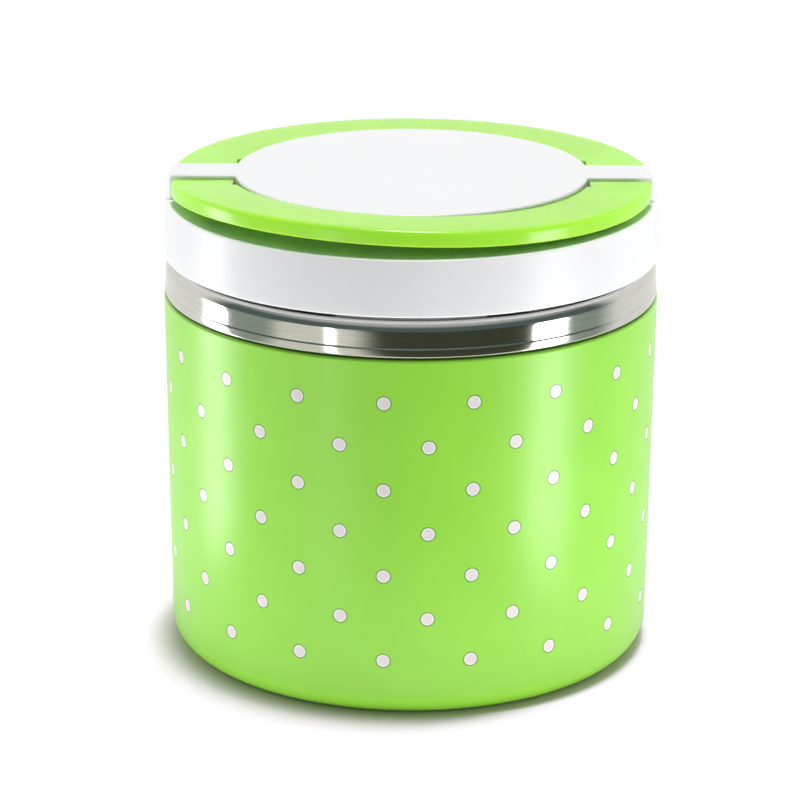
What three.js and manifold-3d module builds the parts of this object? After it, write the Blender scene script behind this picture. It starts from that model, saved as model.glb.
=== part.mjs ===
import * as THREE from 'three';
import { mergeVertices } from 'three/addons/utils/BufferGeometryUtils.js';
import Module from 'manifold-3d';

// Round insulated lunch box: a plastic shell round a steel bowl, closed by a twist-on lid
// with two half-ring handles that fold down flat. Millimetres, +Z up, origin on the ground
// under the middle of the foot.

const wasm = await Module();
wasm.setup();

// Facets and clearances
const FACETS = 48;              // facets round every turned piece
const ARC_PIECES = 2;           // facets along a short arc seen from above
const ARC_ERROR = 0.25;         // how far a facet may fall short of a round edge
const MERGE_DISTANCE = 1e-4;    // corners closer than this are one corner
const CLEARANCE = 0.3;          // between two seated pieces
const CUT_OVERRUN = 1;          // how far a cutting shape runs past what it cuts

// Outer shell
const BOX_RADIUS = 72.5;        // at the shell's top edge
const SHELL_HEIGHT = 107.2;     // from the ground to the shell's top edge
const SHELL_DRAFT = 0.65;       // degrees that the wall leans in towards the foot
const SHELL_WALL = 2.4;
const SHELL_FLOOR = 2.6;
const SHELL_LIP_ROUND = 0.8;
const FOOT_ROUND = 8;           // round of the bottom edge
const FOOT_RING_WIDTH = 6;      // flat ring that the box stands on
const FOOT_RECESS = 1.2;        // how far the floor inside that ring is raised

// Steel collar: tucked into the shell, then the polished band, then the neck under the lid
const SHEET = 0.6;
const BAND_HEIGHT = 11.5;
const BAND_INSET = 0.5;         // the band's radius is this much under the shell's
const BAND_ROUND = 4;           // the band's shoulder under the lid
const STEP_HEIGHT = 2.6;        // pressed step near the band's lower edge
const STEP_DEPTH = 0.2;
const TUCK_DEPTH = 12;
const STEP_ROUND = 0.8;

// Steel bowl
const BOWL_DRAFT = 3;           // degrees
const BOWL_CORNER = 14;
const BOWL_RAISE = 9;           // foam under the bowl's floor
const RIM_WIDTH = 6;            // flat rim that the seal sits on
const RIM_ROUND = 2;
const HOOK_DEPTH = 2;           // how far the rim is turned down over the neck
const HOOK_ROUND = 0.5;

// Twist lock: lugs pressed out of the neck, claws inside the lid's skirt
const LOCK_COUNT = 4;
const LUG_SPAN = 30;            // degrees
const LUG_HEIGHT = 2.6;
const LUG_DROP = 0.4;           // from the turned-down rim to the lugs
const CLAW_SPAN = 36;           // degrees
const CLAW_HEIGHT = 3;
const CLAW_LIFT = 1.6;          // from the band's shoulder to the claws
const LOCK_BITE = 1.4;          // how far lugs and claws reach past each other
const LOCK_CLEARANCE = 0.5;

// Lid
const LID_GAP = 0.4;            // dark line between the band and the lid
const LID_DRAFT = 3.2;          // degrees that the skirt leans in towards the top
const LID_WALL = 2.2;
const LID_TOP = 2;
const LID_EDGE_ROUND = 0.6;
const LID_SHOULDER_ROUND = 0.7;
const DISC_RADIUS = 51.7;       // raised round top
const DISC_PROUD = 1;           // the raised top stands this much over the folded handles
const DISC_ROUND = 0.8;
const DISC_WALL = 3.6;
const BAR_HALF_WIDTH = 7.5;     // bars from the raised top out to the skirt
const BAR_ROUND = 1;
const BAR_END_ROUND = 2.5;      // where a bar runs down into the skirt
const SEAL_THICKNESS = 2;
const SEAL_EDGE_ROUND = 0.5;
const SEAL_GROOVE = 0.8;        // how far the seal sits into the plate's spigot
const SEAL_LIP_SPLIT = 1.2;     // depth of the groove round the seal's edge
const PLATE = 1.6;
const SPIGOT_DEPTH = 3.5;       // how far the plate reaches into the bowl's mouth
const SPIGOT_WALL = 2;
const SPIGOT_CLEARANCE = 0.7;
const SNAP = 0.7;               // bead that holds the plate in the skirt
const FOAM_GAP = 0.5;

// Folding handles
const HANDLE_THICKNESS = 4.6;
const HANDLE_GAP = 0.5;         // to the raised top
const HANDLE_INSET = 1.2;       // from the skirt's shoulder
const HANDLE_SEAT = 1.9;        // finger gap down to the ledge, when folded flat
const HANDLE_GRIP_ROUND = 1.4;
const HANDLE_EDGE_ROUND = 0.6;
const HANDLE_CORNER = 3;        // round of the outer corners, seen from above
const HANDLE_END_ROUND = 1;
const HANDLE_WALL = 2.4;        // round the cored-out underside
const HANDLE_SKIN = 2.2;        // over the cored-out underside
const POCKET_COUNT = 8;
const POCKET_SPAN = 128;        // degrees of the half ring that are cored out
const RIB = 1.8;                // between the pockets
const HINGE_REACH = 2.4;        // from the pins to the handle's end
const HINGE_GAP = 0.7;          // from the handle's end to the bar
const HINGE_NOTCH = 5.2;        // length of the straight cut that clears the raised top
const PIN_RADIUS = 1.1;
const PIN_FACETS = 12;
const PIN_FIT = 0.15;           // in the lid
const PIN_PLAY = 0.25;          // in the handle
const PIN_IN_LID = 3;
const PIN_IN_HANDLE = 6;
const FRONT_HANDLE_LIFT = 1.4;  // degrees that the front handle stands open

// Heights, from the ground up
const slope = (degrees) => Math.tan(THREE.MathUtils.degToRad(degrees));
const shellFloorTop = FOOT_RECESS + SHELL_FLOOR;
const bandSeat = SHELL_HEIGHT + CLEARANCE;
const shoulder = bandSeat + BAND_HEIGHT;
const tuckEnd = bandSeat - TUCK_DEPTH;
const clawBottom = shoulder + CLAW_LIFT;
const lugBottom = clawBottom + CLAW_HEIGHT + LOCK_CLEARANCE;
const hookEnd = lugBottom + LUG_HEIGHT + LUG_DROP;
const rim = hookEnd + HOOK_DEPTH;
const sealBottom = rim + CLEARANCE;
const plateBottom = sealBottom + SEAL_THICKNESS + CLEARANCE;
const plateTop = plateBottom + PLATE;
const lidBottom = shoulder + LID_GAP;
const ledgeUnder = plateTop + CLEARANCE;
const ledge = ledgeUnder + LID_TOP;
const handleBottom = ledge + HANDLE_SEAT;
const handleTop = handleBottom + HANDLE_THICKNESS;
const discTop = handleTop + DISC_PROUD;
const hingeHeight = handleBottom + HINGE_REACH;
const bowlFloor = shellFloorTop + BOWL_RAISE;

// Radii and places across
const shellRadius = (z) => BOX_RADIUS - (SHELL_HEIGHT - z) * slope(SHELL_DRAFT);
const shellBore = (z) => shellRadius(z) - SHELL_WALL;
const lidRadius = (z) => BOX_RADIUS - (z - lidBottom) * slope(LID_DRAFT);
const bandRadius = BOX_RADIUS - BAND_INSET;
const tuckRadius = shellBore(tuckEnd) - CLEARANCE;
const skirtBore = BOX_RADIUS - LID_WALL;
const lugRadius = skirtBore - LOCK_CLEARANCE;
const clawBore = lugRadius - LOCK_BITE;
const hookRadius = clawBore - LOCK_CLEARANCE;
const neckRadius = hookRadius - SHEET - CLEARANCE;
const mouthRadius = hookRadius - RIM_WIDTH;
const bowlRadius = (z) => mouthRadius - (rim - z) * slope(BOWL_DRAFT);
const spigotRadius = mouthRadius - SPIGOT_CLEARANCE;
const grooveRadius = spigotRadius - SEAL_GROOVE;
const ringInner = DISC_RADIUS + HANDLE_GAP;
const ringOuter = lidRadius(ledge) - HANDLE_INSET;
const handleEnd = BAR_HALF_WIDTH + HINGE_GAP;
const hingeOffset = handleEnd + HINGE_REACH;
const notchEdge = Math.sqrt(ringInner ** 2 - handleEnd ** 2);
const discAtPin = Math.sqrt(DISC_RADIUS ** 2 - hingeOffset ** 2);

// Finishes
const GREEN_PLASTIC = { color: 0x86d52a, roughness: 0.3, metalness: 0 };
const WHITE_PLASTIC = { color: 0xf2f4f5, roughness: 0.3, metalness: 0 };
const STEEL = { color: 0xb9b9b4, roughness: 0.16, metalness: 1 };
const SILICONE = { color: 0xe4e8e6, roughness: 0.6, metalness: 0 };
const FOAM = { color: 0xf3efdf, roughness: 0.9, metalness: 0 };

/** Points through corners [x, y, round], each round corner as an arc. */
function rounded(corners, closed = true) {
  const points = [];
  corners.forEach(([x, y, round = 0], i) => {
    const corner = new THREE.Vector2(x, y);
    const isEnd = !closed && (i === 0 || i === corners.length - 1);
    if (!round || isEnd) {
      points.push(corner);
      return;
    }
    const before = new THREE.Vector2(...corners.at(i - 1)).sub(corner).normalize();
    const after = new THREE.Vector2(...corners[(i + 1) % corners.length]).sub(corner).normalize();
    const half = Math.acos(THREE.MathUtils.clamp(before.dot(after), -1, 1)) / 2;
    const centre = before.clone().add(after).setLength(round / Math.sin(half)).add(corner);
    const start = before.clone().multiplyScalar(round / Math.tan(half)).add(corner).sub(centre).angle();
    const end = after.clone().multiplyScalar(round / Math.tan(half)).add(corner).sub(centre).angle();
    const turn = THREE.MathUtils.euclideanModulo(end - start + Math.PI, 2 * Math.PI) - Math.PI;
    const step = 2 * Math.acos(1 - ARC_ERROR / Math.max(round, 2 * ARC_ERROR));
    const steps = Math.ceil(Math.abs(turn) / step);
    for (let k = 0; k <= steps; k += 1) {
      const angle = start + (turn * k) / steps;
      points.push(new THREE.Vector2(Math.cos(angle), Math.sin(angle)).multiplyScalar(round).add(centre));
    }
  });
  return points;
}

/** Outline of a sheet of even thickness along a middle line through corners [r, z, round]. */
function sheetOutline(corners) {
  const line = rounded(corners, false);
  const sides = [[], []];
  line.forEach((point, i) => {
    const into = point.clone().sub(line[Math.max(i - 1, 0)]).normalize();
    const out = line[Math.min(i + 1, line.length - 1)].clone().sub(point).normalize();
    const along = into.clone().add(out).normalize();
    const across = new THREE.Vector2(-along.y, along.x);
    const run = into.lengthSq() > 0 ? into : out;
    const reach = SHEET / 2 / Math.abs(run.dot(along));
    sides[0].push(point.clone().addScaledVector(across, reach));
    sides[1].push(point.clone().addScaledVector(across, -reach));
  });
  return [...sides[0], ...sides[1].reverse()];
}

/** Closed solid of a three.js geometry. */
function solidOf(geometry) {
  const bare = geometry.index ? geometry.toNonIndexed() : geometry;
  const onlyPlaces = new THREE.BufferGeometry();
  onlyPlaces.setAttribute('position', bare.getAttribute('position'));
  const merged = mergeVertices(onlyPlaces, MERGE_DISTANCE);
  const corners = [];
  for (let i = 0; i < merged.index.count; i += 3) {
    const face = [0, 1, 2].map((k) => merged.index.getX(i + k));
    if (new Set(face).size === 3) corners.push(...face);
  }
  const vertProperties = new Float32Array(merged.getAttribute('position').array);
  return new wasm.Manifold(new wasm.Mesh({ numProp: 3, vertProperties, triVerts: new Uint32Array(corners) }));
}

/** Solid turned about Z from an outline of (r, z) points. */
function turned(outline) {
  const points = THREE.ShapeUtils.isClockWise(outline) ? [...outline].reverse() : [...outline];
  const geometry = new THREE.LatheGeometry([...points, points[0].clone()], FACETS);
  return solidOf(geometry.rotateX(Math.PI / 2));
}

/** Solid extruded up from an outline seen from above. */
function standing(shape, bottom, top) {
  const settings = { depth: top - bottom, bevelEnabled: false, curveSegments: ARC_PIECES };
  const geometry = new THREE.ExtrudeGeometry(shape, settings);
  return solidOf(geometry.translate(0, 0, bottom));
}

/** Solid extruded along X from an outline of (y, z) points. */
function alongX(outline, left, right) {
  const geometry = new THREE.ExtrudeGeometry(new THREE.Shape(outline), { depth: right - left, bevelEnabled: false });
  const axes = [new THREE.Vector3(0, 1, 0), new THREE.Vector3(0, 0, 1), new THREE.Vector3(1, 0, 0)];
  return solidOf(geometry.translate(0, 0, left).applyMatrix4(new THREE.Matrix4().makeBasis(...axes)));
}

/** Piece of a flat ring, its middle at an angle in degrees. */
function ringPiece(inner, outer, middle, span, bottom, top) {
  const from = THREE.MathUtils.degToRad(middle - span / 2);
  const to = THREE.MathUtils.degToRad(middle + span / 2);
  const shape = new THREE.Shape();
  shape.absarc(0, 0, outer, from, to, false);
  shape.absarc(0, 0, inner, to, from, true);
  return standing(shape, bottom, top);
}

/** Round rod along X through (y, z). */
function rod(radius, left, right, y, z) {
  const geometry = new THREE.CylinderGeometry(radius, radius, right - left, PIN_FACETS);
  return solidOf(geometry.rotateZ(Math.PI / 2).translate((left + right) / 2, y, z));
}

/** Block between two corners. */
function block(low, high) {
  const size = high.map((value, i) => value - low[i]);
  const middle = high.map((value, i) => (value + low[i]) / 2);
  return solidOf(new THREE.BoxGeometry(...size).translate(...middle));
}

/** Named mesh of a solid. */
function piece(name, solid, finish) {
  const { vertProperties, triVerts } = solid.getMesh();
  const geometry = new THREE.BufferGeometry();
  geometry.setAttribute('position', new THREE.BufferAttribute(vertProperties, 3));
  geometry.setIndex(new THREE.BufferAttribute(triVerts, 1));
  geometry.computeVertexNormals();
  const mesh = new THREE.Mesh(geometry, new THREE.MeshStandardMaterial(finish));
  mesh.name = name;
  return mesh;
}

/** Angles of the lock's lugs, or of its claws half way between them, in degrees. */
function lockAngles(offset) {
  return Array.from({ length: LOCK_COUNT }, (_, i) => (360 / LOCK_COUNT) * (i + offset));
}

/** Plastic cup with a round bottom edge and a flat foot ring. */
function outerShell() {
  const footInner = shellRadius(0) - FOOT_ROUND - FOOT_RING_WIDTH;
  return turned(rounded([
    [0, FOOT_RECESS],
    [footInner - FOOT_RECESS, FOOT_RECESS],
    [footInner, 0],
    [shellRadius(0), 0, FOOT_ROUND],
    [BOX_RADIUS, SHELL_HEIGHT, SHELL_LIP_ROUND],
    [shellBore(SHELL_HEIGHT), SHELL_HEIGHT],
    [shellBore(shellFloorTop), shellFloorTop, FOOT_ROUND - SHELL_WALL],
    [0, shellFloorTop],
  ]));
}

/** Foam cup that fills the space between shell, collar and bowl. */
function foamInsulation() {
  const bottom = shellFloorTop + FOAM_GAP;
  const step = tuckEnd - FOAM_GAP;
  const top = shoulder - SHEET - FOAM_GAP;
  const inCollar = tuckRadius - SHEET - FOAM_GAP;
  const bowlSide = (z) => bowlRadius(z) + SHEET + FOAM_GAP;
  const bowlUnder = bowlFloor - SHEET - FOAM_GAP;
  return turned(rounded([
    [0, bottom],
    [shellBore(bottom) - FOAM_GAP, bottom, FOOT_ROUND],
    [shellBore(step) - FOAM_GAP, step],
    [inCollar, step],
    [inCollar, top],
    [bowlSide(top), top],
    [bowlSide(bowlUnder), bowlUnder, BOWL_CORNER],
    [0, bowlUnder],
  ]));
}

/** Drawn steel bowl whose flat rim is turned down over the collar's neck. */
function innerBowl() {
  const floorLine = bowlFloor - SHEET / 2;
  const rimLine = rim - SHEET / 2;
  const hookLine = hookRadius - SHEET / 2;
  return turned(sheetOutline([
    [0, floorLine],
    [bowlRadius(floorLine) + SHEET / 2, floorLine, BOWL_CORNER],
    [mouthRadius + SHEET / 2, rimLine, RIM_ROUND],
    [hookLine, rimLine, HOOK_ROUND],
    [hookLine, hookEnd],
  ]));
}

/** Pressed steel collar: neck with lock lugs, polished band with a step, skirt tucked into the shell. */
function neckCollar() {
  const neckLine = neckRadius - SHEET / 2;
  const bandLine = bandRadius - SHEET / 2;
  const stepLine = bandLine + STEP_DEPTH;
  const tuckLine = tuckRadius - SHEET / 2;
  let collar = turned(sheetOutline([
    [neckLine, rim - SHEET - CLEARANCE],
    [neckLine, shoulder - SHEET / 2],
    [bandLine, shoulder - SHEET / 2, BAND_ROUND],
    [bandLine, bandSeat + STEP_HEIGHT + STEP_DEPTH],
    [stepLine, bandSeat + STEP_HEIGHT],
    [stepLine, bandSeat + SHEET / 2, STEP_ROUND],
    [tuckLine, bandSeat + SHEET / 2],
    [tuckLine, tuckEnd],
  ]));
  const hollowSpan = LUG_SPAN - THREE.MathUtils.radToDeg((2 * SHEET) / neckRadius);
  const hollowBottom = lugBottom + SHEET;
  const hollowTop = lugBottom + LUG_HEIGHT - SHEET;
  for (const angle of lockAngles(0.5)) {
    const lug = ringPiece(neckLine, lugRadius, angle, LUG_SPAN, lugBottom, lugBottom + LUG_HEIGHT);
    const inside = neckRadius - SHEET - CUT_OVERRUN;
    const hollow = ringPiece(inside, lugRadius - SHEET, angle, hollowSpan, hollowBottom, hollowTop);
    collar = collar.add(lug).subtract(hollow);
  }
  return collar;
}

/** Moulded lid: skirt, ledge for the handles, raised top with two bars, claws and pin holes. */
function lidCover() {
  const snapHigh = plateBottom - CLEARANCE;
  const skirt = turned(rounded([
    [0, ledgeUnder],
    [skirtBore, ledgeUnder],
    [skirtBore, snapHigh],
    [skirtBore - SNAP, snapHigh - SNAP],
    [skirtBore, snapHigh - 2 * SNAP],
    [skirtBore, lidBottom],
    [lidRadius(lidBottom), lidBottom, LID_EDGE_ROUND],
    [lidRadius(ledge), ledge, LID_SHOULDER_ROUND],
    [0, ledge],
  ]));
  const raisedTop = turned(rounded([
    [0, ledgeUnder],
    [DISC_RADIUS, ledgeUnder],
    [DISC_RADIUS, discTop, DISC_ROUND],
    [0, discTop],
  ]));
  const envelope = turned(rounded([
    [0, ledgeUnder],
    [lidRadius(ledgeUnder), ledgeUnder],
    [lidRadius(discTop), discTop, BAR_END_ROUND],
    [0, discTop],
  ]));
  const bars = alongX(rounded([
    [-BAR_HALF_WIDTH, ledgeUnder],
    [BAR_HALF_WIDTH, ledgeUnder],
    [BAR_HALF_WIDTH, discTop, BAR_ROUND],
    [-BAR_HALF_WIDTH, discTop, BAR_ROUND],
  ]), -BOX_RADIUS, BOX_RADIUS).intersect(envelope);
  const hollowTop = discTop - LID_TOP;
  const hollowBottom = ledgeUnder - CUT_OVERRUN;
  const discBore = DISC_RADIUS - DISC_WALL;
  const discHollow = turned(rounded([[0, hollowBottom], [discBore, hollowBottom], [discBore, hollowTop], [0, hollowTop]]));
  const barReach = lidRadius(discTop) - LID_WALL;
  const barInside = BAR_HALF_WIDTH - LID_WALL;
  const barHollow = block([-barReach, -barInside, hollowBottom], [barReach, barInside, hollowTop]);
  let lid = skirt.add(raisedTop).add(bars).subtract(discHollow).subtract(barHollow);
  for (const angle of lockAngles(0)) {
    const claw = ringPiece(clawBore, skirtBore + LID_WALL / 2, angle, CLAW_SPAN, clawBottom, clawBottom + CLAW_HEIGHT);
    lid = lid.add(claw);
  }
  for (const y of [-hingeOffset, hingeOffset]) {
    for (const side of [-1, 1]) {
      const ends = [discAtPin - PIN_IN_LID - CLEARANCE, DISC_RADIUS + CUT_OVERRUN].map((x) => side * x);
      lid = lid.subtract(rod(PIN_RADIUS + PIN_FIT, Math.min(...ends), Math.max(...ends), y, hingeHeight));
    }
  }
  return lid;
}

/** Plate that closes the lid from below, with a grooved spigot for the seal. */
function lidInnerPlate() {
  const edge = skirtBore - CLEARANCE;
  const spigotEnd = rim - SPIGOT_DEPTH;
  const spigotInner = spigotRadius - SPIGOT_WALL;
  return turned(rounded([
    [0, plateBottom],
    [spigotInner, plateBottom],
    [spigotInner, spigotEnd],
    [spigotRadius, spigotEnd, SEAL_EDGE_ROUND],
    [spigotRadius, rim],
    [grooveRadius, rim],
    [grooveRadius, plateBottom],
    [edge, plateBottom],
    [edge, plateTop],
    [0, plateTop],
  ]));
}

/** Silicone ring with a split outer lip. */
function lidSeal() {
  const inner = grooveRadius + CLEARANCE;
  const outer = hookRadius;
  const top = sealBottom + SEAL_THICKNESS;
  const middle = (sealBottom + top) / 2;
  const lip = SEAL_THICKNESS / 2 - SEAL_EDGE_ROUND;
  return turned(rounded([
    [inner, sealBottom],
    [outer, sealBottom, SEAL_EDGE_ROUND],
    [outer, middle - lip / 2],
    [outer - SEAL_LIP_SPLIT, middle],
    [outer, middle + lip / 2],
    [outer, top, SEAL_EDGE_ROUND],
    [inner, top],
  ]));
}

/** Foam disc in the hollow of the raised top. */
function lidInsulation() {
  const edge = DISC_RADIUS - DISC_WALL - FOAM_GAP;
  const bottom = plateTop + CLEARANCE;
  const top = discTop - LID_TOP - FOAM_GAP;
  return turned(rounded([[0, bottom], [edge, bottom], [edge, top], [0, top]]));
}

/** Outline of a half ring's trim, seen from above: a straight end with round outer corners. */
function handleTrim() {
  const cornerY = -(handleEnd + HANDLE_CORNER);
  const cornerX = Math.sqrt((ringOuter - HANDLE_CORNER) ** 2 - cornerY ** 2);
  const turn = Math.atan2(cornerY, cornerX);
  const far = ringOuter + CUT_OVERRUN;
  const shape = new THREE.Shape();
  shape.moveTo(-cornerX, -handleEnd);
  shape.lineTo(cornerX, -handleEnd);
  shape.absarc(cornerX, cornerY, HANDLE_CORNER, Math.PI / 2, turn, true);
  shape.lineTo(far, ringOuter * Math.sin(turn));
  shape.lineTo(far, -far);
  shape.lineTo(-far, -far);
  shape.lineTo(-far, ringOuter * Math.sin(turn));
  shape.absarc(-cornerX, cornerY, HANDLE_CORNER, Math.PI - turn, Math.PI / 2, true);
  return shape;
}

/** Front half-ring handle, folded flat: barrel ends round the pins, cored-out underside with ribs. */
function handle() {
  const ring = turned(rounded([
    [ringInner, handleBottom],
    [ringOuter, handleBottom, HANDLE_EDGE_ROUND],
    [ringOuter, handleTop, HANDLE_GRIP_ROUND],
    [ringInner, handleTop, HANDLE_EDGE_ROUND],
  ]));
  const far = ringOuter + CUT_OVERRUN;
  const side = alongX(rounded([
    [-far, handleBottom],
    [-handleEnd, handleBottom, HINGE_REACH],
    [-handleEnd, handleTop, HANDLE_END_ROUND],
    [-far, handleTop],
  ]), -far, far);
  const trim = standing(handleTrim(), handleBottom - CUT_OVERRUN, handleTop + CUT_OVERRUN);
  let half = ring.intersect(side).intersect(trim);
  const notchEnd = -(hingeOffset + HINGE_NOTCH);
  const notchLow = [-notchEdge, notchEnd, handleBottom - CUT_OVERRUN];
  half = half.subtract(block(notchLow, [notchEdge, -handleEnd + CUT_OVERRUN, handleTop + CUT_OVERRUN]));
  const boreEnd = notchEdge + PIN_IN_HANDLE + CLEARANCE;
  for (const ends of [[-boreEnd, -notchEdge + CUT_OVERRUN], [notchEdge - CUT_OVERRUN, boreEnd]]) {
    half = half.subtract(rod(PIN_RADIUS + PIN_PLAY, ...ends, -hingeOffset, hingeHeight));
  }
  const pitch = POCKET_SPAN / POCKET_COUNT;
  const span = pitch - THREE.MathUtils.radToDeg(RIB / ringOuter);
  const pocketTop = handleTop - HANDLE_SKIN;
  for (let i = 0; i < POCKET_COUNT; i += 1) {
    const middle = -90 + pitch * (i - (POCKET_COUNT - 1) / 2);
    const low = handleBottom - CUT_OVERRUN;
    const pocket = ringPiece(ringInner + HANDLE_WALL, ringOuter - HANDLE_WALL, middle, span, low, pocketTop);
    half = half.subtract(pocket);
  }
  return half;
}

/** Steel pin from the raised top's wall into a handle's end. */
function hingePin(side, y) {
  const ends = [discAtPin - PIN_IN_LID, notchEdge + PIN_IN_HANDLE].map((x) => side * x);
  return rod(PIN_RADIUS, Math.min(...ends), Math.max(...ends), y, hingeHeight);
}

/** Group that opens the front handle about its pins. */
function openedFrontHandle(mesh) {
  const hinge = new THREE.Group();
  hinge.position.set(0, -hingeOffset, hingeHeight);
  hinge.rotation.x = -THREE.MathUtils.degToRad(FRONT_HANDLE_LIFT);
  mesh.position.set(0, hingeOffset, -hingeHeight);
  hinge.add(mesh);
  return hinge;
}

const box = new THREE.Group();
box.add(
  piece('outer_shell', outerShell(), GREEN_PLASTIC),
  piece('foam_insulation', foamInsulation(), FOAM),
  piece('inner_bowl', innerBowl(), STEEL),
  piece('neck_collar', neckCollar(), STEEL),
);

const lid = new THREE.Group();
lid.add(
  piece('lid_cover', lidCover(), WHITE_PLASTIC),
  piece('lid_inner_plate', lidInnerPlate(), WHITE_PLASTIC),
  piece('lid_insulation', lidInsulation(), FOAM),
  piece('lid_seal', lidSeal(), SILICONE),
  piece('hinge_pin_front_left', hingePin(-1, -hingeOffset), STEEL),
  piece('hinge_pin_front_right', hingePin(1, -hingeOffset), STEEL),
  piece('hinge_pin_rear_left', hingePin(-1, hingeOffset), STEEL),
  piece('hinge_pin_rear_right', hingePin(1, hingeOffset), STEEL),
);

const rearHandle = piece('rear_handle', handle(), GREEN_PLASTIC);
rearHandle.rotation.z = Math.PI;
lid.add(rearHandle, openedFrontHandle(piece('front_handle', handle(), GREEN_PLASTIC)));

const lunchBox = new THREE.Group();
lunchBox.add(box, lid);

export default lunchBox;
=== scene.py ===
"""Round insulated lunch box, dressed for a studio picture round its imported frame.

A green shell printed with white dots holds a steel collar and bowl. A white twist-on lid carries
two green half-ring handles. Metres, +Z up, -Y is the front.
"""
import logging
import math
from dataclasses import dataclass
from enum import Enum
from typing import Callable

import bmesh
import bpy
from mathutils import Matrix, Vector


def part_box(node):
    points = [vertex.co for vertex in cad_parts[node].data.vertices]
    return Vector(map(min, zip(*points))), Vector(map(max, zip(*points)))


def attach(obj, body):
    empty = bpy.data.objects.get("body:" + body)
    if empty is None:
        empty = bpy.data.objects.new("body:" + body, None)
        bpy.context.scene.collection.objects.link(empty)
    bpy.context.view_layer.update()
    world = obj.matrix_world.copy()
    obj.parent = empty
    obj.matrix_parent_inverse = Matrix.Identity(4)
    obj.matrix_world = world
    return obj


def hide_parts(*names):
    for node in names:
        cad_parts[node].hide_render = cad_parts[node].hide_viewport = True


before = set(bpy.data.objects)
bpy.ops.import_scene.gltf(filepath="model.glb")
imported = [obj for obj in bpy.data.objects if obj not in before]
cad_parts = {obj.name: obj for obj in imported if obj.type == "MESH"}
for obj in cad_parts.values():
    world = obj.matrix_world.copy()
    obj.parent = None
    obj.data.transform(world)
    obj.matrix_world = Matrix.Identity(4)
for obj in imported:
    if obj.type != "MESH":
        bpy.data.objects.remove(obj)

Piece = bpy.types.Object
Socket = bpy.types.NodeSocket
Spot = tuple[float, float, float]  # place in metres
Colour = tuple[float, float, float]  # linear red, green and blue
Span = tuple[float, float]  # where a soft edge starts and ends

LOG = logging.getLogger("lunch_box")

SEGMENTS = 180  # facets round every turned piece
ARC_STEP = math.radians(9)  # turn of one step along a rounded corner
SAME_PLACE = 1e-6  # points closer than this are one point
SMOOTH_ANGLE = math.radians(32)  # edges sharper than this stay sharp
ROUND_CUTS = 9  # planes that cut an edge round
FULL_TURN = 360  # degrees
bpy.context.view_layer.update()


class Closing(Enum):
    """How a turned outline's two open ends are closed."""

    DISCS = "a flat face over each end"
    LOOP = "the last ring lies on the first"
    SHEET = "left open, then thickened as sheet metal"


class Part(Enum):
    """Kind of mesh element that is picked for an edit."""

    FACE = "FACE"
    EDGE = "EDGE"


class Side(Enum):
    """Half of the lid that a handle folds down on."""

    FRONT = "front"
    REAR = "rear"


@dataclass(frozen=True)
class Corner:
    """Corner of a turned outline: its radius, its height and how far it is rounded."""

    radius: float
    height: float
    round: float = 0.0


def slope(degrees: float) -> float:
    """Sideways step of a wall per unit of height, for a lean in degrees."""
    return math.tan(math.radians(degrees))


def rounded(corners: list[Corner]) -> list[tuple[float, float]]:
    """Traces an open outline, with each round corner as an arc.

    Args:
        corners: the outline's corners in order; the two end corners stay sharp.

    Returns:
        Points (radius, height) along the outline.
    """
    points = []
    for i, corner in enumerate(corners):
        here = Vector((corner.radius, corner.height))
        if corner.round == 0 or i in (0, len(corners) - 1):
            points.append(tuple(here))
            continue
        before = (Vector((corners[i - 1].radius, corners[i - 1].height)) - here).normalized()
        after = (Vector((corners[i + 1].radius, corners[i + 1].height)) - here).normalized()
        half = before.angle(after) / 2
        centre = here + (before + after).normalized() * (corner.round / math.sin(half))
        reach = corner.round / math.tan(half)
        start = here + before * reach - centre
        turn_angle = -start.angle_signed(here + after * reach - centre)
        steps = max(2, math.ceil(abs(turn_angle) / ARC_STEP))
        for k in range(steps + 1):
            swung = Matrix.Rotation(turn_angle * k / steps, 2) @ start
            points.append(tuple(centre + swung))
    return points


def clear_bench() -> None:
    """Leaves edit mode and deselects everything."""
    if bpy.context.mode != "OBJECT":
        bpy.ops.object.mode_set(mode="OBJECT")
    bpy.ops.object.select_all(action="DESELECT")


def take(piece: Piece) -> None:
    """Makes a piece the only selected and active one.

    Args:
        piece: the piece to work on.
    """
    clear_bench()
    piece.select_set(True)
    bpy.context.view_layer.objects.active = piece


def edit(piece: Piece) -> None:
    """Enters edit mode on a piece, with all of it selected.

    Args:
        piece: the piece to edit.
    """
    take(piece)
    bpy.ops.object.mode_set(mode="EDIT")
    bpy.ops.mesh.select_mode(type="VERT")
    bpy.ops.mesh.select_all(action="SELECT")


def pick(piece: Piece, part: Part, test: Callable[[Vector], bool]) -> None:
    """Selects only the faces or edges whose middle passes a test.

    Args:
        piece: the piece in edit mode.
        part: faces or edges.
        test: says whether the element with this middle is wanted.
    """
    bpy.ops.mesh.select_mode(type=part.value)
    bpy.ops.mesh.select_all(action="DESELECT")
    mesh = bmesh.from_edit_mesh(piece.data)
    if part is Part.FACE:
        for face in mesh.faces:
            face.select_set(test(face.calc_center_median()))
    else:
        for edge in mesh.edges:
            edge.select_set(test((edge.verts[0].co + edge.verts[1].co) / 2))
    mesh.select_flush_mode()
    bmesh.update_edit_mesh(piece.data)


def push(rise: float, share: float, height: float) -> None:
    """Extrudes what is selected upwards and scales the new end about the box's axis.

    Args:
        rise: how far up.
        share: new radius over the old one.
        height: height of the scaling's centre.
    """
    bpy.ops.mesh.extrude_region_move(TRANSFORM_OT_translate={"value": (0, 0, rise)})
    bpy.ops.transform.resize(value=(share, share, 1), center_override=(0, 0, height))


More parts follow.
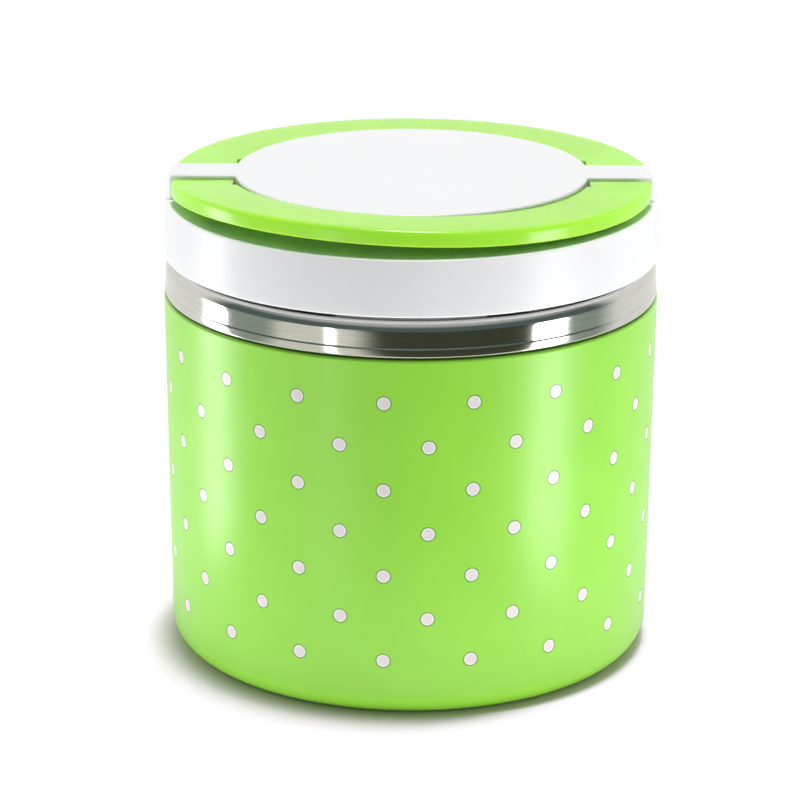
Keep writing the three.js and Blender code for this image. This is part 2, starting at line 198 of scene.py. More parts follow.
def turn(name: str, corners: list[Corner], closing: Closing) -> Piece:
    """Turns an outline about the Z axis, ring by ring.

    Args:
        name: the piece's name.
        corners: the outline's corners.
        closing: how the outline's ends are closed.

    Returns:
        The turned piece, still in edit mode with all of it selected.
    """
    outline = rounded(corners)
    clear_bench()
    bpy.ops.mesh.primitive_circle_add(
        vertices=SEGMENTS, radius=outline[0][0], location=(0, 0, outline[0][1]))
    piece = bpy.context.object
    piece.name = name
    piece.data.name = name
    bpy.ops.object.transform_apply()
    edit(piece)
    for (radius, height), (new_radius, new_height) in zip(outline, outline[1:]):
        push(new_height - height, new_radius / radius, new_height)
    bpy.ops.mesh.select_all(action="SELECT")
    if closing is Closing.DISCS:
        bpy.ops.mesh.fill_holes(sides=0)
    if closing is Closing.LOOP:
        bpy.ops.mesh.remove_doubles(threshold=SAME_PLACE)
    bpy.ops.mesh.select_all(action="SELECT")
    bpy.ops.mesh.normals_make_consistent()
    return piece


def cut_off(place: Vector, away: Vector) -> None:
    """Cuts everything past a plane off the piece in edit mode and closes the cut.

    Args:
        place: a point on the plane.
        away: the direction of the side that is cut off.
    """
    bpy.ops.mesh.select_all(action="SELECT")
    bpy.ops.mesh.bisect(
        plane_co=place, plane_no=away, use_fill=True, clear_outer=True, threshold=SAME_PLACE)


def round_off(centre: Vector, radius: float, start: Vector, stop: Vector) -> None:
    """Cuts an edge round by a fan of planes.

    Args:
        centre: a point on the round's axis.
        radius: the round's radius.
        start: direction from the axis where the round starts.
        stop: direction from the axis where the round ends.
    """
    for k in range(1, ROUND_CUTS):
        away = start.slerp(stop, k / ROUND_CUTS)
        cut_off(centre + away * radius, away)


def angle_from_front(place: Vector) -> float:
    """Angle round the box in degrees, 0 at the front and growing towards +X."""
    return math.degrees(math.atan2(place.x, -place.y))


def radius_of(place: Vector) -> float:
    """Distance of a place from the box's axis."""
    return math.hypot(place.x, place.y)


def apply_modifier(piece: Piece, kind: str, **settings: object) -> None:
    """Adds a modifier with these settings and applies it at once.

    Args:
        piece: the piece to change.
        kind: Blender's name for the modifier.
        settings: the modifier's properties.
    """
    take(piece)
    modifier = piece.modifiers.new(kind.lower(), kind)
    for key, value in settings.items():
        setattr(modifier, key, value)
    bpy.ops.object.modifier_apply(modifier=modifier.name)


def swing(piece: Piece, degrees: float, axis: str, centre: Vector) -> None:
    """Turns a whole piece about a centre and keeps the turn in its mesh.

    Args:
        piece: the piece to turn.
        degrees: how far; the operator turns against the usual sense.
        axis: letter of the axis to turn about.
        centre: a point on that axis.
    """
    take(piece)
    bpy.ops.transform.rotate(value=math.radians(degrees), orient_axis=axis, center_override=centre)
    bpy.ops.object.transform_apply()


def combine(piece: Piece, tool: Piece, operation: str) -> None:
    """Joins or trims a piece with a tool shape, and removes the tool."""
    apply_modifier(piece, "BOOLEAN", object=tool, operation=operation, solver="EXACT")
    bpy.data.objects.remove(tool)


def dress(piece: Piece, material: bpy.types.Material) -> None:
    """Gives a piece one finish all over."""
    piece.data.materials.clear()
    piece.data.materials.append(material)


def complete(piece: Piece, material: bpy.types.Material, body: str, slot: str, *nodes: str) -> Piece:
    """Cleans, smooths and dresses a piece, and lets it ride on a body and stand for CAD nodes.

    Args:
        piece: the modelled piece.
        material: its finish.
        body: the body that carries it.
        slot: the record's material slot; not used.
        nodes: the CAD nodes that it stands for.

    Returns:
        The same piece.
    """
    edit(piece)
    bpy.ops.mesh.remove_doubles(threshold=SAME_PLACE)
    bpy.ops.mesh.normals_make_consistent()
    bpy.ops.object.mode_set(mode="OBJECT")
    bpy.ops.object.shade_smooth_by_angle(angle=SMOOTH_ANGLE)
    dress(piece, material)
    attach(piece, body)
    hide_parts(*nodes)
    return piece


class Pen:
    """Pen that draws nodes in one tree."""

    def __init__(self, tree: bpy.types.NodeTree) -> None:
        """Takes the tree to draw in."""
        self.tree = tree

    def add(self, kind: str, **settings: object) -> bpy.types.Node:
        """Adds a shader node.

        Args:
            kind: Blender's name for the node, without its prefix.
            settings: the node's properties.

        Returns:
            The new node.
        """
        node = self.tree.nodes.new("ShaderNode" + kind)
        for key, value in settings.items():
            setattr(node, key, value)
        return node

    def feed(self, socket: Socket, value: object) -> None:
        """Feeds an input.

        Args:
            socket: the input.
            value: a socket to link, or a plain value to set.
        """
        if isinstance(value, Socket):
            self.tree.links.new(value, socket)
        else:
            socket.default_value = value

    def math(self, operation: str, *values: object) -> Socket:
        """Adds a Math node.

        Args:
            operation: Blender's name for the operation.
            values: sockets or numbers for its inputs.

        Returns:
            The result's socket.
        """
        node = self.add("Math", operation=operation)
        for socket, value in zip(node.inputs, values):
            self.feed(socket, value)
        return node.outputs[0]

    def ramp(self, value: object, low: float, high: float,
             to_low: float = 0.0, to_high: float = 1.0) -> Socket:
        """Maps a value from one range smoothly to another.

        Args:
            value: the socket to map.
            low: where the range starts.
            high: where the range ends.
            to_low: result at and below the start.
            to_high: result at and above the end.

        Returns:
            The mapped value's socket.
        """
        node = self.add("MapRange", interpolation_type="SMOOTHSTEP")
        for socket, number in zip(node.inputs, (value, low, high, to_low, to_high)):
            self.feed(socket, number)
        return node.outputs["Result"]

    def split(self, place: Socket) -> list[Socket]:
        """Splits a place or a direction.

        Args:
            place: the place or direction.

        Returns:
            Its parts along X, Y and Z.
        """
        node = self.add("SeparateXYZ")
        self.feed(node.inputs[0], place)
        return list(node.outputs)

    def long_side(self, first: Socket, second: Socket) -> Socket:
        """Length of the long side over two sides at a right angle."""
        squares = self.math("ADD", self.math("POWER", first, 2.0), self.math("POWER", second, 2.0))
        return self.math("SQRT", squares)

    def mix(self, share: object, first: object, second: object) -> Socket:
        """Mixes two colours.

        Args:
            share: share of the second colour.
            first: colour or socket.
            second: colour or socket.

        Returns:
            The mixed colour's socket.
        """
        node = self.add("Mix", data_type="RGBA")
        self.feed(node.inputs["Factor"], share)
        self.feed(node.inputs["A"], first)
        self.feed(node.inputs["B"], second)
        for socket in node.outputs:
            if socket.type == "RGBA":
                return socket
        raise LookupError("the Mix node has no colour output")


@dataclass(frozen=True)
class Grain:
    """Noise pattern: how fine it is, its detail, and the range of it that is used."""

    scale: float
    detail: float
    low: float = 0.3
    high: float = 0.7


SMEAR = Grain(90, 3)  # where plastic is duller or shinier
MOULDING = Grain(900, 2)  # fine texture that the mould leaves
CLOUD = Grain(35, 2, 0.35, 0.65)  # slow change of a plastic's colour
SPECKLE = Grain(1400, 2)  # grain of the printed ink
SMUDGE = Grain(28, 3)  # where steel has been handled


class Nodes(Pen):
    """Pen that draws the nodes of one material."""

    def __init__(self, name: str) -> None:
        """Makes the material with its shader and the piece's own coordinates.

        Args:
            name: the material's name.
        """
        self.material = bpy.data.materials.new(name)
        self.material.use_nodes = True
        super().__init__(self.material.node_tree)
        self.shader = self.tree.nodes["Principled BSDF"]
        self.place = self.add("TexCoord").outputs["Object"]

    def noise(self, scale: float, detail: float, place: object = None) -> Socket:
        """Adds a noise texture.

        Args:
            scale: how fine it is.
            detail: how detailed it is.
            place: coordinates other than the piece's own.

        Returns:
            The noise's socket.
        """
        node = self.add("TexNoise")
        self.feed(node.inputs["Vector"], self.place if place is None else place)
        node.inputs["Scale"].default_value = scale
        node.inputs["Detail"].default_value = detail
        return node.outputs["Fac"]

    def grain(self, grain: Grain, to_low: float = 0.0, to_high: float = 1.0) -> Socket:
        """Adds a noise pattern, mapped to a range."""
        return self.ramp(self.noise(grain.scale, grain.detail), grain.low, grain.high, to_low, to_high)

    def bump(self, height: object, strength: float, depth: float) -> None:
        """Raises the surface by a pattern.

        Args:
            height: the pattern.
            strength: how much of it shows.
            depth: its height in metres.
        """
        node = self.add("Bump")
        node.inputs["Strength"].default_value = strength
        node.inputs["Distance"].default_value = depth
        self.feed(node.inputs["Height"], height)
        self.feed(self.shader.inputs["Normal"], node.outputs["Normal"])

    def set(self, name: str, value: object) -> None:
        """Sets or links one of the shader's inputs."""
        self.feed(self.shader.inputs[name], value)


def shade_of(colour: Colour, share: float) -> tuple[float, float, float, float]:
    """Colour darkened or lightened by a share, with full alpha."""
    return (colour[0] * share, colour[1] * share, colour[2] * share, 1.0)


@dataclass(frozen=True)
class Plastic:
    """Moulded plastic: a barely clouded colour with a faint moulding texture."""

    name: str
    colour: Colour
    roughness: float
    clouding: float = 0.03  # how much the colour wanders
    glow: float = 0.0  # share of light that passes under the surface
    glow_depth: float = 0.004
    peel: float = 0.05  # strength of the fine moulding texture
    gloss_coat: float = 0.0  # share of a clear skin over the colour
    peel_depth: float = 0.0001
    spread: float = 0.03  # how far the roughness wanders each way
    ior: float = 1.5
    glow_tail: float = 0.1  # added to each channel's reach under the surface

    def start(self) -> Nodes:
        """Draws everything but the colour.

        Returns:
            The pen, for the colour to be added.
        """
        pen = Nodes(self.name)
        pen.set("Roughness", pen.grain(SMEAR, self.roughness - self.spread, self.roughness + self.spread))
        pen.set("IOR", self.ior)
        pen.set("Coat Weight", self.gloss_coat)
        pen.set("Coat Roughness", self.roughness)
        pen.set("Subsurface Weight", self.glow)
        pen.set("Subsurface Scale", self.glow_depth)
        pen.set("Subsurface Radius", tuple(min(1.0, channel + self.glow_tail) for channel in self.colour))
        pen.bump(pen.noise(MOULDING.scale, MOULDING.detail), self.peel, self.peel_depth)
        return pen

    def clouded(self, pen: Nodes) -> Socket:
        """Draws the plastic's own colour."""
        dark = shade_of(self.colour, 1 - self.clouding)
        return pen.mix(pen.grain(CLOUD), dark, shade_of(self.colour, 1 + self.clouding))

    def make(self) -> bpy.types.Material:
        """Makes the material.

        Returns:
            The material.
        """
        pen = self.start()
        pen.set("Base Color", self.clouded(pen))
        return pen.material


@dataclass(frozen=True)
class DottedPlastic(Plastic):
    """Plastic printed with staggered rows of small round dots."""

    ink: Colour = (0.80, 0.74, 0.76)
    rim: Colour = (0.88, 0.90, 0.84)
    outline: Colour = (0.17, 0.34, 0.06)
    per_row: int = 18
    first_angle: float = -5.93  # degrees from the front to a dot of the top row
    top_row: float = 0.0947
    row_pitch: float = 0.01281
    rows: int = 7
    wall_radius: float = 0.0719
    dot_radius: float = 0.00186
    rim_width: float = 0.00035  # paler rim of each dot
    outline_width: float = 0.00036
    edge_blur: float = 0.00007
    speckle: float = 0.04  # how much darker the ink's grain is

    def to_nearest_dot(self, pen: Nodes) -> Socket:
        """Draws the distance along the wall to the nearest dot's middle.

        Args:
            pen: the material's pen.

        Returns:
            The distance's socket, in metres.
        """
        across, deep, height = pen.split(pen.place)
        angle = pen.math("ARCTAN2", across, pen.math("MULTIPLY", deep, -1.0))
        pitch = 2 * math.pi / self.per_row
        along = pen.math("DIVIDE", pen.math("SUBTRACT", angle, math.radians(self.first_angle)), pitch)
        down = pen.math("DIVIDE", pen.math("SUBTRACT", self.top_row, height), self.row_pitch)
        row = pen.math("MINIMUM", pen.math("MAXIMUM", pen.math("ROUND", down), 0.0), float(self.rows - 1))
        stagger = pen.math("MULTIPLY", pen.math("MODULO", row, 2.0), 0.5)
        column = pen.math("SUBTRACT", along, stagger)
        off_column = pen.math("SUBTRACT", column, pen.math("ROUND", column))
        sideways = pen.math("MULTIPLY", off_column, pitch * self.wall_radius)
        upright = pen.math("MULTIPLY", pen.math("SUBTRACT", down, row), self.row_pitch)
        return pen.long_side(sideways, upright)

    def make(self) -> bpy.types.Material:
        """Makes the material: outline, paler rim and ink are printed over the plastic in turn.

        Returns:
            The material.
        """
        pen = self.start()
        distance = self.to_nearest_dot(pen)
        ink = pen.mix(pen.grain(SPECKLE), shade_of(self.ink, 1 - self.speckle), shade_of(self.ink, 1.0))
        colour = self.clouded(pen)
        for radius, print_colour in (
                (self.dot_radius + self.outline_width, shade_of(self.outline, 1.0)),
                (self.dot_radius, shade_of(self.rim, 1.0)),
                (self.dot_radius - self.rim_width, ink)):
            inside = pen.ramp(distance, radius - self.edge_blur, radius + self.edge_blur, 1.0, 0.0)
            colour = pen.mix(inside, colour, print_colour)
        pen.set("Base Color", colour)
        return pen.material


@dataclass(frozen=True)
class Steel:
    """Spun or polished steel with fine lines round the axis."""

    name: str
    colour: Colour
    roughness: float
    line_strength: float  # how deep the spinning lines look
    lines: float = 2200  # fineness of the lines
    line_detail: float = 3
    line_stretch: float = 0.004  # makes the lines long round the axis
    line_range: Span = (0.25, 0.75)
    line_depth: float = 0.00005
    line_dulling: float = 0.04  # roughness that the lines add
    dark_line: float = 0.94
    pale_line: float = 1.04
    wiped: float = 0.03  # how much smoother the cleanest places are
    smudged: float = 0.05  # how much rougher the handled places are

    def make(self) -> bpy.types.Material:
        """Makes the material.

        Returns:
            The material.
        """
        pen = Nodes(self.name)
        across, deep, height = pen.split(pen.place)
        around = pen.math("MULTIPLY", pen.math("ARCTAN2", across, deep), self.line_stretch)
        round_axis = pen.add("CombineXYZ")
        for socket, value in zip(round_axis.inputs, (around, pen.long_side(across, deep), height)):
            pen.feed(socket, value)
        lines = pen.noise(self.lines, self.line_detail, round_axis.outputs[0])
        dark = shade_of(self.colour, self.dark_line)
        tint = pen.ramp(lines, *self.line_range)
        pen.set("Base Color", pen.mix(tint, dark, shade_of(self.colour, self.pale_line)))
        worn = pen.grain(SMUDGE, self.roughness - self.wiped, self.roughness + self.smudged)
        pen.set("Roughness", pen.math("ADD", worn, pen.math("MULTIPLY", lines, self.line_dulling)))
        pen.set("Metallic", 1.0)
        pen.bump(lines, self.line_strength, self.line_depth)
        return pen.material


@dataclass(frozen=True)
class Foam:
    """Closed-cell foam with small cells, with painted shade in the pit of each cell."""

    name: str
    colour: Colour
    cells: float = 900  # fineness of the cells
    cell_range: Span = (0.1, 0.6)
    # painted shade: each cell is darker in its middle, where the bump sinks a pit
    pit_shade: float = 0.85
    roughness: float = 0.9
    pitting: float = 0.4
    pit_depth: float = 0.0003

    def make(self) -> bpy.types.Material:
        """Makes the material.

        Returns:
            The material.
        """
        pen = Nodes(self.name)
        cells = pen.add("TexVoronoi")
        pen.feed(cells.inputs["Vector"], pen.place)
        cells.inputs["Scale"].default_value = self.cells
        # painted shade in the pits: each cell's middle is darker
        edge = pen.ramp(cells.outputs["Distance"], *self.cell_range)
        dark = shade_of(self.colour, self.pit_shade)
        pen.set("Base Color", pen.mix(edge, dark, shade_of(self.colour, 1.0)))
        pen.set("Roughness", self.roughness)
        pen.bump(edge, self.pitting, self.pit_depth)
        return pen.material


@dataclass
class OuterShell:
    """Green plastic cup with a round bottom edge and a flat foot ring."""

    finish: Plastic
    radius: float = 0.0725  # at the top edge
    height: float = 0.1072
    draft: float = 0.65  # degrees
    wall: float = 0.0024
    floor: float = 0.0026
    lip_round: float = 0.0008
    foot_round: float = 0.008
    foot_ring: float = 0.006
    foot_recess: float = 0.0012

    def radius_at(self, height: float) -> float:
        """Outer radius of the leaning wall at a height."""
        return self.radius - (self.height - height) * slope(self.draft)

    def build(self) -> Piece:
        """Turns the cup.

        Returns:
            The finished shell.
        """
        foot_inner = self.radius_at(0) - self.foot_round - self.foot_ring
        floor_top = self.foot_recess + self.floor
        shell = turn("outer_shell_cup", [
            Corner(foot_inner - 2 * self.foot_recess, self.foot_recess),
            Corner(foot_inner - self.foot_recess, self.foot_recess, self.foot_recess / 3),
            Corner(foot_inner, 0, self.foot_recess / 3),
            Corner(self.radius_at(0), 0, self.foot_round),
            Corner(self.radius, self.height, self.lip_round),
            Corner(self.radius - self.wall, self.height, self.lip_round / 2),
            Corner(self.radius_at(floor_top) - self.wall, floor_top, self.foot_round - self.wall),
            Corner(foot_inner, floor_top),
        ], Closing.DISCS)
        return complete(shell, self.finish.make(), "box", "green_shell", "outer_shell")


@dataclass
class SteelCollar:
    """Pressed collar: neck with lock lugs, polished band with a step, skirt tucked into the shell."""

    finish: Steel
    sheet: float = 0.0006
    neck_radius: float = 0.0670
    neck_top: float = 0.1282
    shoulder: float = 0.1190
    shoulder_round: float = 0.004
    band_radius: float = 0.0720
    band_seat: float = 0.1075
    step_height: float = 0.0026
    step_depth: float = 0.0002
    step_round: float = 0.0004
    hem_round: float = 0.0006
    tuck_radius: float = 0.06966
    tuck_end: float = 0.0955
    lug_radius: float = 0.0698
    lug_bottom: float = 0.1241
    lug_top: float = 0.1267
    lug_span: float = 30  # degrees
    lug_count: int = 4
    lug_round: float = 0.0004
    lug_steps: int = 3  # facets of that round

    def is_lug(self, place: Vector) -> bool:
        """Says whether a face of the neck lies in one of the lugs.

        Args:
            place: the face's middle.

        Returns:
            True where it does.
        """
        if not self.lug_bottom < place.z < self.lug_top or radius_of(place) > self.neck_radius:
            return False
        pitch = FULL_TURN / self.lug_count
        off_middle = (angle_from_front(place) % pitch) - pitch / 2
        return abs(off_middle) < self.lug_span / 2

    def press_lugs(self, collar: Piece) -> None:
        """Presses the lugs out of the neck and rounds their edges.

        Args:
            collar: the turned collar.
        """
        half = self.sheet / 2
        share = (self.lug_radius - half) / (self.neck_radius - half)
        pick(collar, Part.FACE, self.is_lug)
        push(0, share, (self.lug_bottom + self.lug_top) / 2)
        bpy.ops.mesh.region_to_loop()
        bpy.ops.mesh.bevel(offset=self.lug_round, segments=self.lug_steps, affect="EDGES")

    def build(self) -> Piece:
        """Presses the collar out of one sheet.

        Returns:
            The finished collar.
        """
        half = self.sheet / 2
        neck = self.neck_radius - half
        band = self.band_radius - half
        step = band + self.step_depth
        step_top = self.band_seat + self.step_height
        collar = turn("neck_collar_band", [
            Corner(neck, self.neck_top),
            Corner(neck, self.lug_top),
            Corner(neck, self.lug_bottom),
            Corner(neck, self.shoulder - half, self.sheet),
            Corner(band, self.shoulder - half, self.shoulder_round),
            Corner(band, step_top + 2 * self.step_depth, self.step_round),
            Corner(step, step_top, self.step_round),
            Corner(step, self.band_seat + half, self.hem_round),
            Corner(self.tuck_radius - half, self.band_seat + half, self.sheet),
            Corner(self.tuck_radius - half, self.tuck_end),
        ], Closing.SHEET)
        self.press_lugs(collar)
        apply_modifier(collar, "SOLIDIFY", thickness=self.sheet, offset=0.0, use_even_offset=True)
        return complete(collar, self.finish.make(), "box", "collar_steel", "neck_collar")


@dataclass
class InnerBowl:
    """Drawn steel bowl whose flat rim is turned down over the neck."""

    finish: Steel
    sheet: float = 0.0006
    floor: float = 0.0128
    floor_start: float = 0.02
    draft: float = 3  # degrees
    corner: float = 0.014
    mouth_radius: float = 0.0619
    rim: float = 0.1291
    rim_round: float = 0.002
    hook_radius: float = 0.0679
    hook_round: float = 0.0006
    hook_end: float = 0.1271

    def build(self) -> Piece:
        """Draws the bowl out of one sheet.

        Returns:
            The finished bowl.
        """
        half = self.sheet / 2
        floor_line = self.floor - half
        rim_line = self.rim - half
        wall_foot = self.mouth_radius - (self.rim - floor_line) * slope(self.draft) + half
        bowl = turn("inner_bowl_cup", [
            Corner(self.floor_start, floor_line),
            Corner(wall_foot, floor_line, self.corner),
            Corner(self.mouth_radius + half, rim_line, self.rim_round),
            Corner(self.hook_radius - half, rim_line, self.hook_round),
            Corner(self.hook_radius - half, self.hook_end),
        ], Closing.SHEET)
        pick(bowl, Part.EDGE, lambda place: radius_of(place) < self.floor_start + SAME_PLACE)
        bpy.ops.mesh.edge_face_add()
        apply_modifier(bowl, "SOLIDIFY", thickness=self.sheet, offset=0.0, use_even_offset=True)
        return complete(bowl, self.finish.make(), "box", "bowl_steel", "inner_bowl")


@dataclass
class Lid:
    """White lid: skirt with claws, ledge for the handles, raised round top and two side bars."""

    finish: Plastic
    plate_finish: Plastic
    seal_finish: Plastic
    pin_finish: Steel
    radius: float = 0.0725  # at the skirt's lower edge
    bottom: float = 0.1194
    draft: float = 3.2  # degrees
    bore: float = 0.0703
    edge_round: float = 0.0006
    shoulder_round: float = 0.0007
    ledge_under: float = 0.1336
    ledge: float = 0.1356
    inner_round: float = 0.0003
    disc_radius: float = 0.0517
    disc_top: float = 0.1431
    disc_round: float = 0.0008
    disc_bore: float = 0.0481
    top_wall: float = 0.002
    snap_top: float = 0.1314
    snap: float = 0.0007
    claw_bore: float = 0.0684
    claw_bottom: float = 0.1206
    claw_top: float = 0.1236
    claw_span: float = 36  # degrees
    claw_count: int = 4
    bar_half_width: float = 0.0075
    bar_round: float = 0.0010
    bar_steps: int = 5  # facets of that round
    bar_end_round: float = 0.0025
    bar_corner: float = 0.0018  # round of the bars' outer corners, seen from above
    bar_inset: float = 0.00003  # the bars' faces lie this much under the faces beside them
    plate_bottom: float = 0.1317
    plate_top: float = 0.1333
    plate_edge: float = 0.0700
    spigot_radius: float = 0.0612
    spigot_inner: float = 0.0592
    spigot_end: float = 0.1256
    groove_radius: float = 0.0604
    rim: float = 0.1291
    small_round: float = 0.0005
    seal_inner: float = 0.0607
    seal_outer: float = 0.0679
    seal_bottom: float = 0.1294
    seal_top: float = 0.1314
    seal_split: float = 0.0012
    pin_chamfer: float = 0.0002
    pin_steps: int = 2  # facets of that chamfer
    pin_facets: int = 32

    def radius_at(self, height: float) -> float:
        """Outer radius of the leaning skirt at a height."""
        return self.radius - (height - self.bottom) * slope(self.draft)

    def is_claw(self, place: Vector) -> bool:
        """Says whether a face of the bore lies in one of the claws.

        Args:
            place: the face's middle.

        Returns:
            True where it does.
        """
        if not self.claw_bottom < place.z < self.claw_top or radius_of(place) > self.bore:
            return False
        pitch = FULL_TURN / self.claw_count
        off_middle = ((angle_from_front(place) + pitch / 2) % pitch) - pitch / 2
        return abs(off_middle) < self.claw_span / 2

    def side_bars(self) -> Piece:
        """Makes the two bars from the raised top out to the skirt, as one long bar.

        Returns:
            The bar, trimmed to the skirt's lean, with round top edges.
        """
        low = (self.ledge_under + self.ledge) / 2
        high = self.disc_top - self.bar_inset
        clear_bench()
        bpy.ops.mesh.primitive_cube_add(
            size=1, location=(0, 0, (low + high) / 2),
            scale=(2 * self.radius, 2 * self.bar_half_width, high - low))
        bar = bpy.context.object
        bpy.ops.object.transform_apply()
        edit(bar)
        pick(bar, Part.EDGE, lambda place: abs(place.z - high) < SAME_PLACE and abs(place.x) < SAME_PLACE)
        bpy.ops.mesh.bevel(offset=self.bar_round, segments=self.bar_steps, affect="EDGES")
        corner_y = self.bar_half_width - self.bar_corner
        corner_x = math.sqrt((self.radius_at(high) - self.bar_corner) ** 2 - corner_y ** 2)
        for sign_x, sign_y in ((-1, -1), (-1, 1), (1, -1), (1, 1)):
            corner = Vector((sign_x * corner_x, sign_y * corner_y, 0))
            round_off(corner, self.bar_corner, Vector((0, sign_y, 0)), corner.normalized())
        envelope = turn("bar_envelope", [
            Corner(self.disc_bore, low - self.top_wall),
            Corner(self.radius_at(low - self.top_wall) - self.bar_inset, low - self.top_wall),
            Corner(self.radius_at(self.disc_top) - self.bar_inset, self.disc_top, self.bar_end_round),
            Corner(self.disc_bore, self.disc_top),
        ], Closing.DISCS)
        combine(bar, envelope, "INTERSECT")
        return bar

    def cover(self) -> Piece:
        """Makes the moulded cover.

        Returns:
            The finished cover.
        """
        cover = turn("lid_cover_moulding", [
            Corner(self.disc_bore, self.disc_top - self.top_wall),
            Corner(self.disc_bore, self.ledge_under),
            Corner(self.bore, self.ledge_under),
            Corner(self.bore, self.snap_top),
            Corner(self.bore - self.snap, self.snap_top - self.snap),
            Corner(self.bore, self.snap_top - 2 * self.snap),
            Corner(self.bore, self.claw_top),
            Corner(self.bore, self.claw_bottom),
            Corner(self.bore, self.bottom, self.edge_round / 2),
            Corner(self.radius, self.bottom, self.edge_round),
            Corner(self.radius_at(self.ledge), self.ledge, self.shoulder_round),
            Corner(self.disc_radius, self.ledge, self.inner_round),
            Corner(self.disc_radius, self.disc_top, self.disc_round),
            Corner(self.disc_bore, self.disc_top),
        ], Closing.DISCS)
        pick(cover, Part.FACE, self.is_claw)
        push(0, self.claw_bore / self.bore, self.claw_bottom)
        combine(cover, self.side_bars(), "UNION")
        return complete(cover, self.finish.make(), "lid", "white_lid", "lid_cover")

    def inner_plate(self) -> Piece:
        """Makes the plate that closes the lid from below, with its grooved spigot.

        Returns:
            The finished plate.
        """
        plate = turn("lid_inner_plate_disc", [
            Corner(self.spigot_inner - self.small_round, self.plate_bottom),
            Corner(self.spigot_inner, self.plate_bottom, self.small_round),
            Corner(self.spigot_inner, self.spigot_end, self.small_round),
            Corner(self.spigot_radius, self.spigot_end, self.small_round),
            Corner(self.spigot_radius, self.rim),
            Corner(self.groove_radius, self.rim),
            Corner(self.groove_radius, self.plate_bottom),
            Corner(self.plate_edge, self.plate_bottom, self.small_round),
            Corner(self.plate_edge, self.plate_top, self.small_round),
            Corner(self.spigot_radius, self.plate_top),
        ], Closing.DISCS)
        return complete(plate, self.plate_finish.make(), "lid", "white_plate", "lid_inner_plate")

    def seal(self) -> Piece:
        """Makes the silicone ring with its split outer lip.

        Returns:
            The finished ring.
        """
        middle = (self.seal_bottom + self.seal_top) / 2
        lip = (self.seal_top - self.seal_bottom) / 2 - self.small_round
        ring = turn("lid_seal_ring", [
            Corner(self.seal_inner, self.seal_bottom),
            Corner(self.seal_outer, self.seal_bottom, self.small_round),
            Corner(self.seal_outer, middle - lip / 2),
            Corner(self.seal_outer - self.seal_split, middle),
            Corner(self.seal_outer, middle + lip / 2),
            Corner(self.seal_outer, self.seal_top, self.small_round),
            Corner(self.seal_inner, self.seal_top),
            Corner(self.seal_inner, self.seal_bottom),
        ], Closing.LOOP)
        return complete(ring, self.seal_finish.make(), "seal", "silicone", "lid_seal")

    def pins(self) -> list[Piece]:
        """Makes the four hinge pins, each where its CAD node lies.

        Returns:
            The finished pins.
        """
        material = self.pin_finish.make()
        made = []
        for node in sorted(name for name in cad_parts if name.startswith("hinge_pin")):
            low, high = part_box(node)
            length = high.x - low.x
            clear_bench()
            bpy.ops.mesh.primitive_cylinder_add(
                vertices=self.pin_facets, radius=(high.z - low.z) / 2, depth=length,
                location=(low + high) / 2, rotation=(0, math.pi / 2, 0))
            pin = bpy.context.object
            pin.name = node + "_rod"
            bpy.ops.object.transform_apply()
            edit(pin)
            ends = (low.x, high.x)
            pick(pin, Part.EDGE, lambda place: min(abs(place.x - end) for end in ends) < SAME_PLACE)
            bpy.ops.mesh.bevel(offset=self.pin_chamfer, segments=self.pin_steps, affect="EDGES")
            made.append(complete(pin, material, "lid", "pin_steel", node))
        return made


